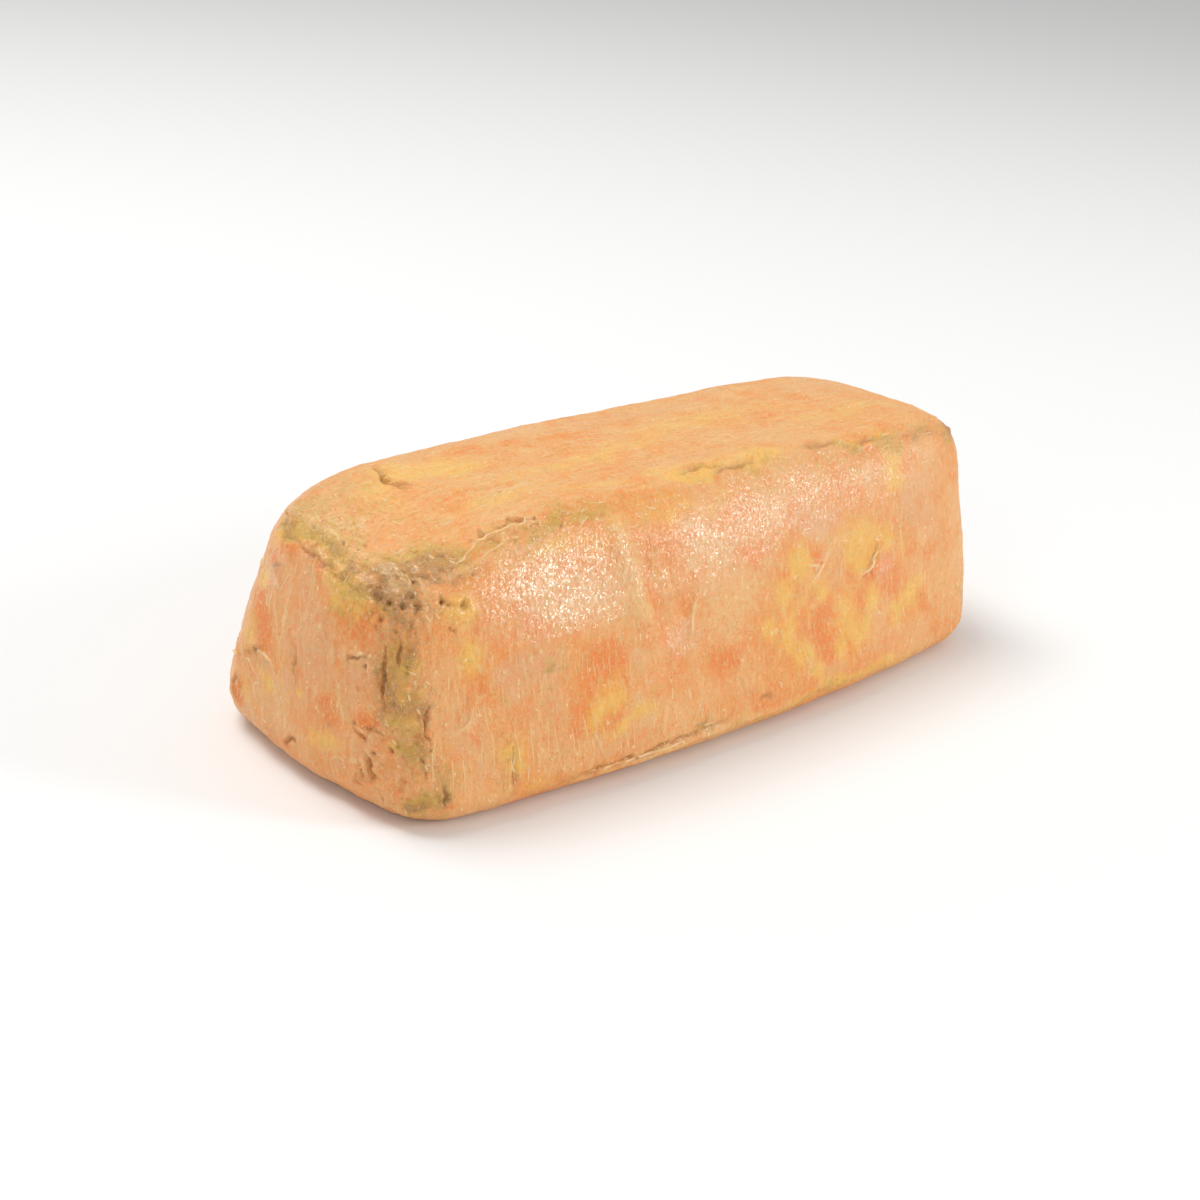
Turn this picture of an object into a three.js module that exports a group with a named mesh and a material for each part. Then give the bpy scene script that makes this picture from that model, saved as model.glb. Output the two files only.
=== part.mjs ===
// A block of foie gras pressed in a terrine mould and turned out: one solid piece on its flat base.
// Millimetres, +Z up. The origin is the centre of the base, the long front face looks towards -Y.
import * as THREE from "three";
import { mergeVertices } from "three/addons/utils/BufferGeometryUtils.js";

// The block between its corners, before its sides bulge.
const LENGTH = 150;
const WIDTH = 64;
const HEIGHT = 51;
const CROWN = 0.8; // the middle of the top over the edge of its plateau

// How far the middle of each side swells past its corners, at the base and level with the top.
const END_BULGE = { base: 5, top: 2 };
const FRONT_BULGE = { base: 6, top: 4.5 };
const BACK_BULGE = { base: 6, top: 2.5 };

// How far each long side has come in by the full height, as the mould's draft.
const FRONT_LEAN = 9.8;
const BACK_LEAN = 12.8;

// The worn shoulder round the top plateau: its width in plan and how far down the side it starts.
const LEFT_SHOULDER = { width: 16, depth: 8 };
const RIGHT_SHOULDER = { width: 15, depth: 7.6 };
const FRONT_SHOULDER = { width: 4.5, depth: 10.5 };
const BACK_SHOULDER = { width: 4.5, depth: 13 };
const SHOULDER_POWER = 1.6; // 1 is a straight chamfer, 2 a quarter of an ellipse

const FOOT_RADIUS = 7.2; // round the underside
const CORNER_RADIUS = { base: 7, top: 10 }; // upright corners, in plan
const BACK_LEFT_TOP_RADIUS = 17; // the corner that is rounded most

// The front left corner of the top has slumped.
const SLUMP = 5.2;
const SLUMP_SPREAD = 15;
const SLUMP_INSET = 7; // of its middle from both sides

// Slow unevenness of the soft surface, none at the base: one wave along each axis.
const UNEVENNESS = 0.25;
const WAVELENGTHS = { x: 53, y: 71, z: 44 };
const PHASES = { x: 1, y: 0, z: 2 };

const STEPS = { long: 34, short: 20, high: 18 };
const PLAN_CROWDING = 0.45; // share by which steps close up towards the corners
const HEIGHT_CROWDING = 0.75;

// Moves evenly spaced values from -1 to 1 towards both ends.
function crowd(value, share) {
  return value + (share * Math.sin(Math.PI * value)) / Math.PI;
}

// Inset of the rounded underside at a height.
function footInset(z) {
  const left = THREE.MathUtils.clamp(1 - z / FOOT_RADIUS, 0, 1);
  return FOOT_RADIUS * (1 - Math.sqrt(1 - left * left));
}

// Inset of a shoulder at a height: nothing below it, its full width at the top.
function shoulderInset(shoulder, z) {
  const up = THREE.MathUtils.clamp(1 - (HEIGHT - CROWN - z) / shoulder.depth, 0, 1);
  const along = Math.pow(1 - Math.pow(up, SHOULDER_POWER), 1 / SHOULDER_POWER);
  return shoulder.width * (1 - along);
}

// A value that goes from its base figure to its top figure.
function between(range, share) {
  return THREE.MathUtils.lerp(range.base, range.top, share);
}

// Where the four sides stand at a height, with no bulge.
function sidesAt(z) {
  const share = z / HEIGHT;
  const foot = footInset(z);
  return {
    left: -LENGTH / 2 + foot + shoulderInset(LEFT_SHOULDER, z),
    right: LENGTH / 2 - foot - shoulderInset(RIGHT_SHOULDER, z),
    front: -WIDTH / 2 + foot + FRONT_LEAN * share + shoulderInset(FRONT_SHOULDER, z),
    back: WIDTH / 2 - foot - BACK_LEAN * share - shoulderInset(BACK_SHOULDER, z),
  };
}

// Radius of the upright corner in the quadrant of a point, at a height.
function cornerRadius(a, b, z) {
  const backLeft = a < 0 && b > 0;
  const top = backLeft ? BACK_LEFT_TOP_RADIUS : CORNER_RADIUS.top;
  return THREE.MathUtils.lerp(CORNER_RADIUS.base, top, z / HEIGHT);
}

// A point of a square's edge, a and b from -1 to 1, on the rounded outline at a height.
function outlinePoint(a, b, z) {
  const sides = sidesAt(z);
  const x = THREE.MathUtils.lerp(sides.left, sides.right, (a + 1) / 2);
  const y = THREE.MathUtils.lerp(sides.front, sides.back, (b + 1) / 2);
  const corner = new THREE.Vector2(a > 0 ? sides.right : sides.left, b > 0 ? sides.back : sides.front);
  const inwards = new THREE.Vector2(a > 0 ? -1 : 1, b > 0 ? -1 : 1);
  const radius = cornerRadius(a, b, z);
  const alongX = Math.abs(corner.x - x);
  const alongY = Math.abs(corner.y - y);
  if (alongX >= radius || alongY >= radius) {
    return new THREE.Vector2(x, y);
  }
  const angle = (Math.PI / 4) * (1 + (alongX - alongY) / radius);
  return new THREE.Vector2(
    corner.x + inwards.x * radius * (1 - Math.cos(angle)),
    corner.y + inwards.y * radius * (1 - Math.sin(angle)),
  );
}

// Swells the outline: most in the middle of a side, nothing at its corners.
function bulge(point, z) {
  const share = z / HEIGHT;
  const u = point.x / (LENGTH / 2);
  const v = point.y / (WIDTH / 2);
  const side = point.y < 0 ? FRONT_BULGE : BACK_BULGE;
  point.x += u * between(END_BULGE, share) * (1 - v * v);
  point.y += v * between(side, share) * (1 - u * u);
}

// How far the slumped corner has sunk at a point.
function slump(point, z) {
  const dx = point.x + LENGTH / 2 - SLUMP_INSET;
  const dy = point.y + WIDTH / 2 - SLUMP_INSET;
  const share = z / HEIGHT;
  return SLUMP * share * share * Math.exp(-(dx * dx + dy * dy) / (2 * SLUMP_SPREAD * SLUMP_SPREAD));
}

// Moves a point by three slow waves, one for each axis, that fade out at the base.
function unsettle(position) {
  const x = (2 * Math.PI * position.x) / WAVELENGTHS.x;
  const y = (2 * Math.PI * position.y) / WAVELENGTHS.y;
  const z = (2 * Math.PI * position.z) / WAVELENGTHS.z;
  const reach = UNEVENNESS * Math.min(1, position.z / FOOT_RADIUS);
  position.x += reach * Math.sin(y + z + PHASES.x);
  position.y += reach * Math.sin(x + z + PHASES.y);
  position.z += reach * Math.sin(x + y + PHASES.z);
}

// The block's surface over a point of a cube, each of a, b and c from -1 to 1.
function surfacePoint(a, b, c) {
  const reach = Math.max(Math.abs(a), Math.abs(b));
  const z = ((HEIGHT - CROWN) * (crowd(c, HEIGHT_CROWDING) + 1)) / 2;
  const point = new THREE.Vector2();
  if (reach > 0) {
    point.copy(outlinePoint(crowd(a / reach, PLAN_CROWDING), crowd(b / reach, PLAN_CROWDING), z));
    point.multiplyScalar(reach);
  }
  bulge(point, z);
  const crown = c === 1 ? CROWN * (1 - reach * reach) : 0;
  const position = new THREE.Vector3(point.x, point.y, z + crown - slump(point, z));
  unsettle(position);
  return position;
}

// A cube's grid drawn onto the block, with its bounding box centred over the origin.
function blockGeometry() {
  const geometry = new THREE.BoxGeometry(2, 2, 2, STEPS.long, STEPS.short, STEPS.high);
  geometry.deleteAttribute("normal");
  geometry.deleteAttribute("uv");
  const positions = geometry.getAttribute("position");
  for (let i = 0; i < positions.count; i += 1) {
    const on = surfacePoint(positions.getX(i), positions.getY(i), positions.getZ(i));
    positions.setXYZ(i, on.x, on.y, on.z);
  }
  const closed = mergeVertices(geometry);
  closed.computeBoundingBox();
  const centre = closed.boundingBox.getCenter(new THREE.Vector3());
  closed.translate(-centre.x, -centre.y, 0);
  closed.computeVertexNormals();
  return closed;
}

const block = new THREE.Mesh(
  blockGeometry(),
  new THREE.MeshStandardMaterial({ color: 0xe5ad76, roughness: 0.42, metalness: 0 }),
);
block.name = "foie_gras_block";

const part = new THREE.Group();
part.add(block);

export default part;
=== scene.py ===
import math
import random

import bmesh
import bpy
import numpy as np
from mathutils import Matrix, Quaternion, Vector, noise
from mathutils.bvhtree import BVHTree


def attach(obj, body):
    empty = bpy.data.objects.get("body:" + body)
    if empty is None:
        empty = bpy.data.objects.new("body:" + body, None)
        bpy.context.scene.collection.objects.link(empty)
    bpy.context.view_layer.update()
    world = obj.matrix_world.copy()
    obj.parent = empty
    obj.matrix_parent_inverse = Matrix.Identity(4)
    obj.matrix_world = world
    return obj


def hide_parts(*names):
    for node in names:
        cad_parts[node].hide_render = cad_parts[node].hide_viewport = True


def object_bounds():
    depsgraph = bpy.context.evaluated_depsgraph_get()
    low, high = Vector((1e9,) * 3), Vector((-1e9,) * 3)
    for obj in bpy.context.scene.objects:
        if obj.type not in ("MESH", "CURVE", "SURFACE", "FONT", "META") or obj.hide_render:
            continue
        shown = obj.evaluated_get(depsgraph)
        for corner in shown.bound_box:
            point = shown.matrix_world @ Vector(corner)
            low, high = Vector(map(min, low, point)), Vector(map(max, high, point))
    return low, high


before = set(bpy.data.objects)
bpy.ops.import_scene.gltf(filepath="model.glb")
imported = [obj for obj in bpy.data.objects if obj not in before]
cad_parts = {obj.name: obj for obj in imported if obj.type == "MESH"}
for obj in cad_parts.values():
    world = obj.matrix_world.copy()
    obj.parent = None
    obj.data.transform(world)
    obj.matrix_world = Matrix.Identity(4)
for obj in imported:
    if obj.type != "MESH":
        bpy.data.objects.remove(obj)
CAD_BOX = [list(map(float, corner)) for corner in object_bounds()]

# ------------------------------------------------------------------ the pressed block
# One piece: lobes of cooked liver pressed together in a terrine mould and turned out.
# Its skin is the mould's shape, smoothed and meshed evenly, then finer where it is cracked.
MM = 0.001
SKIN_CELL = 1.16  # mm, the side of a face on the plain parts of the skin, halved for each finer zone
SMOOTHING_LEVELS = 2
ROOM_FOR_RELIEF = 0.35  # mm, how far the skin starts inside the solid
FLAT_BELOW = 0.3  # mm, lower than this the skin belongs to the flat base
RELIEF_FROM = 2.0  # mm above the base, where the relief has its full height
MERGED_WITHIN = 0.01  # mm, closer corners of the solid's loose triangles become one
PAIRED_WITHIN = math.radians(40)  # the most that two triangles lean before they stay apart
PAIRED_SKEW = math.radians(60)  # the most that a pair of them may be out of square
MOULD_SOFTENING = 4  # rounds of smoothing that take out the steps of the even mesh
ZONE_SOFTENING = 2  # rounds of smoothing after each finer zone
EVERYWHERE = slice(None)  # every point of the skin


def put(name, data):
    """A new object, placed in the scene."""
    made = bpy.data.objects.new(name, data)
    bpy.context.scene.collection.objects.link(made)
    return made


def worked_mesh(made):
    """The mesh that an object's modifiers or curve come to; the object itself is taken away."""
    bpy.context.view_layer.update()
    mesh = bpy.data.meshes.new_from_object(made.evaluated_get(bpy.context.evaluated_depsgraph_get()))
    bpy.data.objects.remove(made)
    return mesh


cad_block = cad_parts["foie_gras_block"]
shell = bmesh.new()
shell.from_mesh(cad_block.data)
bmesh.ops.remove_doubles(shell, verts=shell.verts, dist=MERGED_WITHIN * MM)
bmesh.ops.join_triangles(
    shell, faces=shell.faces, angle_face_threshold=PAIRED_WITHIN, angle_shape_threshold=PAIRED_SKEW
)
mould = bpy.data.meshes.new("mould")
shell.to_mesh(mould)
shell.free()
former = put("former", mould)
rounding = former.modifiers.new("rounding", "SUBSURF")
rounding.levels = rounding.render_levels = SMOOTHING_LEVELS
even = former.modifiers.new("even", "REMESH")
even.mode = "VOXEL"
even.voxel_size = SKIN_CELL * MM
skin = worked_mesh(former)


def detailed(place):
    """The front, the left end and the shoulder over them."""
    x, y, z = place
    return z > 0.5 and (y < -17 or x < -61 or (x < -48 and z > 46))


def cracked(place):
    """The upright front corner, the torn top edge and the left end's worn shoulder."""
    x, y, z = place
    upright = x < -66 and y < -13 and z > 1
    top_edge = -62 < x < -28 and -24 < y < -15
    shoulder = x < -70 and 38 < z < 46
    top_crack = -63 < x < -51 and -4 < y < 12 and z > 46
    return upright or top_edge or shoulder or top_crack


worked = bmesh.new()
worked.from_mesh(skin)


def soften(times):
    for _ in range(times):
        bmesh.ops.smooth_vert(
            worked, verts=worked.verts, factor=0.5, use_axis_x=True, use_axis_y=True, use_axis_z=True
        )


soften(MOULD_SOFTENING)
for zone in (detailed, cracked):
    chosen = [face for face in worked.faces if zone(face.calc_center_median() / MM)]
    edges = list({edge for face in chosen for edge in face.edges})
    bmesh.ops.subdivide_edges(worked, edges=edges, cuts=1, use_grid_fill=True)
    soften(ZONE_SOFTENING)
bmesh.ops.recalc_face_normals(worked, faces=worked.faces)
worked.to_mesh(skin)
worked.free()

count = len(skin.vertices)
PLACE = np.empty(count * 3)
skin.vertices.foreach_get("co", PLACE)
PLACE = PLACE.reshape(-1, 3) / MM
NORMAL = np.empty(count * 3, np.float32)
skin.vertex_normals.foreach_get("vector", NORMAL)
NORMAL = NORMAL.reshape(-1, 3).astype(float)


def grain(places, size, seed, stretch=(1, 1, 1)):
    """Smooth noise from about -1 to 1, with lumps of about that size in mm."""
    scaled = places / (size * np.array(stretch)) + seed * 7.31
    return np.array([noise.noise(p) for p in scaled.tolist()])


def rough_grain(places, size, seed, octaves=4):
    """Noise with finer and finer lumps on it."""
    scaled = places / size + seed * 7.31
    return np.array([noise.fractal(p, 0.8, 2.1, octaves) for p in scaled.tolist()])


def ease(value, low, high):
    """0 below low, 1 above high, smooth between them; low may be the larger."""
    share = np.clip((value - low) / (high - low), 0, 1)
    return share * share * (3 - 2 * share)


def wander(size, reach, seed):
    """The skin's places, each moved by up to about reach in mm, so that drawn lines waver."""
    return PLACE + reach * np.stack([grain(PLACE, size, seed + k) for k in (0, 1, 2)], axis=1)


FINE_WANDER = wander(3.0, 0.7, 11)
CRACK_WANDER = wander(2.2, 0.9, 41) + wander(0.9, 0.35, 51) - PLACE
WIDE_WANDER = wander(9.0, 3.2, 21) + wander(2.6, 1.3, 31) - PLACE

FRONT = ease(-NORMAL[:, 1], 0.35, 0.8)
BACK = ease(NORMAL[:, 1], 0.35, 0.8)
LEFT = ease(-NORMAL[:, 0], 0.35, 0.8)
RIGHT = ease(NORMAL[:, 0], 0.35, 0.8)
TOP = ease(NORMAL[:, 2], 0.8, 0.97)
SHOULDER = ease(NORMAL[:, 2], 0.22, 0.5) * (1 - ease(NORMAL[:, 2], 0.9, 0.985))

relief = np.zeros(count)
TINTS = ("fat", "blush", "rose", "olive", "soot", "cream", "shade", "beads", "lying")
tint = {name: np.zeros(count) for name in TINTS}


def deepen(name, near, amount):
    """Lays a tint over what is already there."""
    tint[name][near] = 1 - (1 - tint[name][near]) * (1 - np.clip(amount, 0, 1))


def along(points, reach, places=FINE_WANDER):
    """The skin within reach of a line: its indices, distance from the line, share of the length, side."""
    knots = np.array(points, float)
    low, high = knots.min(0) - reach - 3, knots.max(0) + reach + 3
    near = np.nonzero(((PLACE > low) & (PLACE < high)).all(1))[0]
    place, normal = places[near], NORMAL[near]
    distance = np.full(len(near), np.inf)
    share = np.zeros(len(near))
    side = np.zeros(len(near))
    lengths = np.linalg.norm(np.diff(knots, axis=0), axis=1)
    for start, end, length, before in zip(knots, knots[1:], lengths, np.cumsum(lengths) - lengths):
        step = end - start
        part = np.clip((place - start) @ step / length**2, 0, 1)
        off = place - start - part[:, None] * step
        off -= (off * normal).sum(1)[:, None] * normal
        gap = np.linalg.norm(off, axis=1)
        closer = gap < distance
        distance[closer] = gap[closer]
        share[closer] = ((before + part * length) / lengths.sum())[closer]
        side[closer] = np.sign((np.cross(step, off) * normal).sum(1))[closer]
    return near, distance, share, side


def crease(points, width, depth, dark=0.8, lips=0.0, colour="shade"):
    """A crack that thins out at its ends, width mm from lip to lip; lips is how far they stand up. Its floor
    gets painted shade, or the tint that colour names, dark being how much.
    """
    near, distance, share, _ = along(points, 3 * width, CRACK_WANDER)
    taper = np.sqrt(np.sin(np.pi * np.clip(share, 0.02, 0.98)))
    cut = taper * np.exp(-((2 * distance / width) ** 2))
    relief[near] += lips * taper * np.exp(-(((distance - 1.1 * width) / (0.6 * width)) ** 2)) - depth * cut
    deepen(colour, near, dark * cut)


def fibre(points, width, height, pale=0.6):
    """A thread of fat or tissue that stands a little proud."""
    near, distance, share, _ = along(points, 3 * width)
    taper = np.sqrt(np.sin(np.pi * np.clip(share, 0.02, 0.98)))
    raised = taper * np.exp(-((distance / width) ** 2))
    relief[near] += height * raised
    deepen("cream", near, pale * raised)


def ledge(points, width, height, fade):
    """A step: the skin on the line's left stands up sharply and falls away over the fade distance."""
    near, distance, share, side = along(points, 3 * fade)
    taper = np.sin(np.pi * np.clip(share, 0.0, 1.0)) ** 0.6
    rise = ease(side * distance, -width / 2, width / 2) * np.exp(-((distance / fade) ** 2))
    relief[near] += height * taper * rise


def pit(centre, radius, depth, dark=0.85):
    """A small hole with a soft rim and painted shade in it, dark being how much."""
    distance = np.linalg.norm(CRACK_WANDER - np.array(centre, float), axis=1)
    hole = np.exp(-((1.5 * distance / radius) ** 2))
    relief[:] += 0.3 * depth * np.exp(-(((distance - 1.3 * radius) / (0.7 * radius)) ** 2)) - depth * hole
    deepen("shade", EVERYWHERE, dark * hole)


def spread(centre, radii, places=WIDE_WANDER):
    """1 at the centre of a patch, falling to 0 past its radii."""
    distance = np.linalg.norm((places - np.array(centre, float)) / np.array(radii, float), axis=1)
    return 1 - ease(distance, 0.25, 1.5)


def patch(name, centre, radii, strength):
    deepen(name, EVERYWHERE, strength * spread(centre, radii))


def patches(name, rows):
    for centre, radii, strength in rows:
        patch(name, centre, radii, strength)


def lump(centre, radii, height):
    relief[:] += height * spread(centre, radii, FINE_WANDER)


# ------------------------------------------------------------------ its soft, uneven surface
# Cold fat and liver never lie quite flat: slow dents from the mould, lumps where lobes meet,
# and a fine drag where the block slid out against the mould's walls.
DENT_DEPTH = 0.30  # mm
LOBE_HEIGHT = 0.20  # mm
PIMPLE_HEIGHT = 0.07  # mm
DRAG_DEPTH = 0.09  # mm
STREAK_DEPTH = 0.12  # mm
relief += DENT_DEPTH * grain(PLACE, 17, 1) + LOBE_HEIGHT * rough_grain(PLACE, 7, 2)
relief += PIMPLE_HEIGHT * rough_grain(PLACE, 2.4, 3, 3)
DRAG = (FRONT + BACK) * grain(PLACE, 1.5, 4, (1, 1, 9)) + (LEFT + RIGHT) * grain(PLACE, 1.5, 5, (1, 1, 9))
relief += DRAG_DEPTH * DRAG * (1 - SHOULDER)
relief += STREAK_DEPTH * TOP * grain(PLACE, 1.8, 6, (12, 1, 1))
UPRIGHT_CORNER = ease(PLACE[:, 0], -68, -74) * ease(PLACE[:, 1], -14, -21)
relief += (0.10 * LEFT + 0.28 * UPRIGHT_CORNER) * rough_grain(PLACE, 1.9, 7, 3)

# ------------------------------------------------------------------ the top
# The plateau is smooth and streaked lengthwise. Its front edge is torn and stained olive in places,
# and a crack crosses the back left corner.
crease([(-54.5, 12, 50), (-57, 6.5, 50), (-58.3, 4, 50), (-57, 0, 50)], 1.1, 1.1, 0.7, 0.35)
crease([(-58, 3, 50), (-56, 1.5, 50), (-55, 0, 50)], 0.8, 0.6, 0.4, 0.2)
patch("fat", (-54, 6, 50), (4, 6, 4), 0.7)
patch("fat", (-61, 2, 49), (3, 6, 4), 0.5)
for start, end, width in (
    ((-56, -6.5, 50), (-38, -6.5, 51), 0.9),
    ((-53, -11, 50), (-34, -9, 51), 0.8),
    ((-48, 2, 50), (-5, -1, 51), 0.9),
    ((10, -9, 51), (34, -5, 51), 0.9),
    ((-44, -15, 49), (-14, -16, 50), 0.8),
    ((10, 4, 51), (52, 1, 51), 1.0),
    ((-34, 8, 51), (0, 7, 51), 1.0),
):
    middle = [(a + b) / 2 + 0.6 for a, b in zip(start, end)]
    crease([start, middle, end], width, 0.25, 0.15, 0.12, "blush")
EDGE = [
    (-60, -14, 47), (-55, -17, 47), (-41, -20, 49), (-25, -20, 50), (-12, -19, 50), (0, -19, 50),
    (13, -20, 50), (34, -20, 50), (50, -21, 50), (60, -20, 50),
]
ledge(EDGE, 1.2, 0.45, 4.0)
for points, depth in (
    ([(-52, -18.6, 48), (-49, -19, 48.5), (-45.6, -20, 48.8)], 0.4),
    ([(-10, -19.8, 50), (-5, -19.3, 50), (-1, -20, 50)], 0.4),
    ([(-3, -21, 49.5), (3, -21.3, 49.5), (9, -21, 49.5)], 0.4),
    ([(37, -21.7, 49), (41, -22, 49), (45, -22.3, 48.7)], 0.35),
    ([(22, -20.5, 50), (28, -21, 49.6), (33, -20.6, 49.6)], 0.35),
):
    crease(points, 0.9, depth, 0.5, 0.35)
for centre, radius in (
    ((-55.6, -17.9, 47.6), 1.0),
    ((-54.6, -19.0, 47.6), 0.8),
    ((-50.5, -19.7, 48.3), 0.8),
    ((-46.5, -20.8, 48.6), 0.7),
    ((-1, -19.7, 50), 0.7),
    ((47, -22.2, 48.7), 0.8),
):
    pit(centre, radius, 0.9)
patches("olive", (
    ((-46, -20.6, 48.3), (10, 1.8, 3), 0.85),
    ((-34, -21.3, 49), (6, 1.5, 3), 0.6),
    ((-57, -18.5, 47), (5, 2.5, 3), 0.7),
    ((-26, -21.5, 49), (5, 1.2, 2), 0.35),
    ((32, -22, 48.6), (10, 2, 3), 0.35),
    ((46, -23, 47.4), (7, 2.5, 4), 0.55),
    ((62, -18, 48), (7, 4, 3), 0.30),
    ((8, -22, 48.5), (8, 1.5, 3), 0.35),
))
patches("fat", (
    ((-6, -19.8, 50), (7, 1.8, 3), 1.0),
    ((10, -21, 49.5), (8, 1.8, 3), 0.8),
    ((41, -22, 49), (9, 1.8, 3), 0.8),
    ((46, -26, 45), (4, 3, 3), 0.8),
    ((-47, 3, 50), (11, 4, 4), 0.8),
    ((-20, -5, 51), (22, 3, 4), 0.45),
    ((-45, -12, 50), (12, 2.5, 3), 0.45),
    ((15, -1, 51), (20, 4, 4), 0.45),
    ((-55, -19.5, 47.5), (4, 1.5, 3), 0.6),
    ((45, -10, 51), (20, 3, 4), 0.4),
    ((-15, -17, 50.5), (24, 1.6, 3), 0.5),
))
patches("blush", (
    ((-18, 6, 51), (12, 2.2, 4), 0.85),
    ((-35, 8.5, 51), (6, 1.6, 4), 0.6),
    ((-48, -6.5, 50.5), (10, 1.1, 3), 0.75),
    ((-33, -15.5, 50.5), (5, 1.3, 3), 0.6),
    ((26, -5, 51), (14, 2.5, 4), 0.6),
    ((45, 3, 51), (6, 2.5, 4), 0.6),
    ((-28, -12, 50.5), (16, 1.2, 3), 0.5),
    ((8, 7, 51), (14, 1.8, 4), 0.5),
))
patches("rose", (
    ((5, 10, 51), (30, 3, 4), 0.7),
    ((-30, 12, 51), (22, 2.4, 4), 0.6),
    ((30, -10, 51), (22, 2.4, 4), 0.6),
    ((55, 4, 51), (12, 7, 4), 0.6),
    ((-5, -14, 51), (26, 1.8, 4), 0.5),
))

# ------------------------------------------------------------------ the worn left shoulder
# The end slopes down to a raised, pale ridge of hard fat. Above it the fat is beaded and wet,
# below it runs a yellow-olive band, and the front corner has slumped and oxidised to a grey brown.
RIDGE = [
    (-73, 13, 46), (-74, 7, 45.6), (-74, 1, 45.2), (-74, -5, 44.6), (-73.5, -10, 44),
    (-73, -13, 43.2), (-73, -15.5, 42), (-73.4, -18, 41), (-73, -20.5, 39.6),
]
near, distance, _, _ = along(RIDGE, 5)
relief[near] += 0.65 * np.exp(-((distance / 1.1) ** 2))
deepen("cream", near, 0.6 * np.exp(-((distance / 1.0) ** 2)))
ledge(RIDGE, 1.4, 0.4, 4.0)
UNDER_RIDGE = [(-75.5, 12, 43.5), (-76, 3, 43), (-76.4, -5, 42), (-76.4, -12, 40.8), (-76, -18, 38.8)]
near, distance, _, _ = along(UNDER_RIDGE, 8, WIDE_WANDER)
deepen("olive", near, 0.75 * np.exp(-((distance / 1.5) ** 2)))
deepen("fat", near, 0.8 * np.exp(-((distance / 2.4) ** 2)))
BAND_CRACK = [(-76.5, 10, 42), (-77, 2, 41.6), (-77, -6, 40.6), (-77, -11, 39.8), (-76.6, -15, 38.6)]
crease(BAND_CRACK, 1.1, 0.45, 0.25, 0.2)
patches("olive", (
    ((-66, -17, 44), (6, 4.5, 4), 0.9),
    ((-71, -20, 41), (3.5, 3.5, 4), 0.9),
    ((-62, -20, 45), (5, 2.5, 3), 0.7),
    ((-71, -13, 44), (4, 3, 3), 0.6),
    ((-72, 10, 46), (3, 5, 3), 0.4),
))
patches("soot", (
    ((-70, -16.5, 43), (2.6, 2.6, 3), 0.85),
    ((-66.5, -18.5, 44), (3, 1.6, 2), 0.7),
    ((-73, -21.5, 38), (2, 2, 2.6), 0.9),
    ((-75.6, -17, 40), (1.6, 1.8, 1.6), 0.85),
    ((-72.5, -23.5, 33), (1.8, 2, 3.4), 0.55),
    ((-69.5, -22, 41), (2.6, 1.6, 1.8), 0.75),
    ((-65, -22, 42.5), (3, 1.4, 1.6), 0.6),
    ((-75, 12, 44), (2, 2.5, 2), 0.5),
    ((-72, -20, 40), (6, 5, 5), 0.76),
    ((-66, -20, 43.6), (7, 3.4, 3), 0.66),
    ((-58, -19, 46.6), (5, 2, 2), 0.35),
    ((-75.4, -16, 40.4), (2.6, 4, 2.4), 0.55),
    ((-76, -10, 42.6), (2, 2.4, 1.4), 0.85),
    ((-76, -3, 42.4), (2, 4, 1.0), 0.5),
    ((-75, 9, 44), (2, 3, 1.4), 0.5),
    ((-72, -14, 43.4), (3, 2.4, 2.4), 0.6),
))
patches("olive", (
    ((-66, 3, 47.6), (7, 13, 4), 0.32),
    ((-75.6, 5, 43.6), (2, 8, 2), 0.50),
    ((-73, -3, 45), (4, 14, 4), 0.55),
))
for centre, radius, depth in (
    ((-76, -15.5, 41), 0.8, 0.8),
    ((-76, -17.2, 39.8), 1.1, 1.1),
    ((-75, -18.6, 39), 0.8, 0.8),
    ((-73, -21, 39.5), 1.4, 1.4),
    ((-71.8, -22.6, 38.6), 1.0, 1.0),
    ((-67.4, -23.7, 39.3), 1.0, 1.0),
    ((-66.3, -24.4, 38.6), 0.7, 0.8),
    ((-64, -25, 38.4), 1.0, 0.9),
    ((-75.5, 10, 43.6), 0.8, 0.8),
    ((-68.5, -13.5, 45), 0.7, 0.6),
    ((-69, -19.5, 42.6), 0.8, 0.7),
    ((-66, -20, 43.8), 0.7, 0.6),
    ((-64, -18, 45.2), 0.7, 0.6),
    ((-71, -17.5, 42.4), 0.6, 0.6),
    ((-67.6, -16.4, 44.4), 0.6, 0.5),
):
    pit(centre, radius, depth)
SMEAR = [(-72.5, -13, 43.6), (-71.5, -15.5, 43.2), (-71.6, -18, 42), (-71, -20.5, 40.6)]
for points, width, height in (
    (SMEAR, 0.9, 0.7),
    ([(-69, -15.5, 44), (-68.5, -18, 43), (-69.5, -20.5, 41), (-69, -22.4, 39)], 0.7, 0.6),
    ([(-66, -13, 45.5), (-63, -14, 46), (-60, -15.5, 46.5)], 0.6, 0.4),
    ([(-64, -22, 42), (-60, -22, 43.5), (-56, -21.5, 45)], 0.7, 0.45),
    ([(-67, -20.5, 43), (-65, -21.8, 42), (-62.5, -22.3, 42.4)], 0.6, 0.5),
):
    fibre(points, width, height, 0.5)
lump((-71.5, -16.5, 43), (2.2, 2.4, 2), 0.6)
lump((-67, -19, 43.6), (2.6, 1.8, 2), 0.5)
CRUMB_SIZES = (0.3, 0.6)  # mm
PIT_SHARE = 0.35  # of the crumbs, how many fell out and left a pit
chance = random.Random(3)
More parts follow.
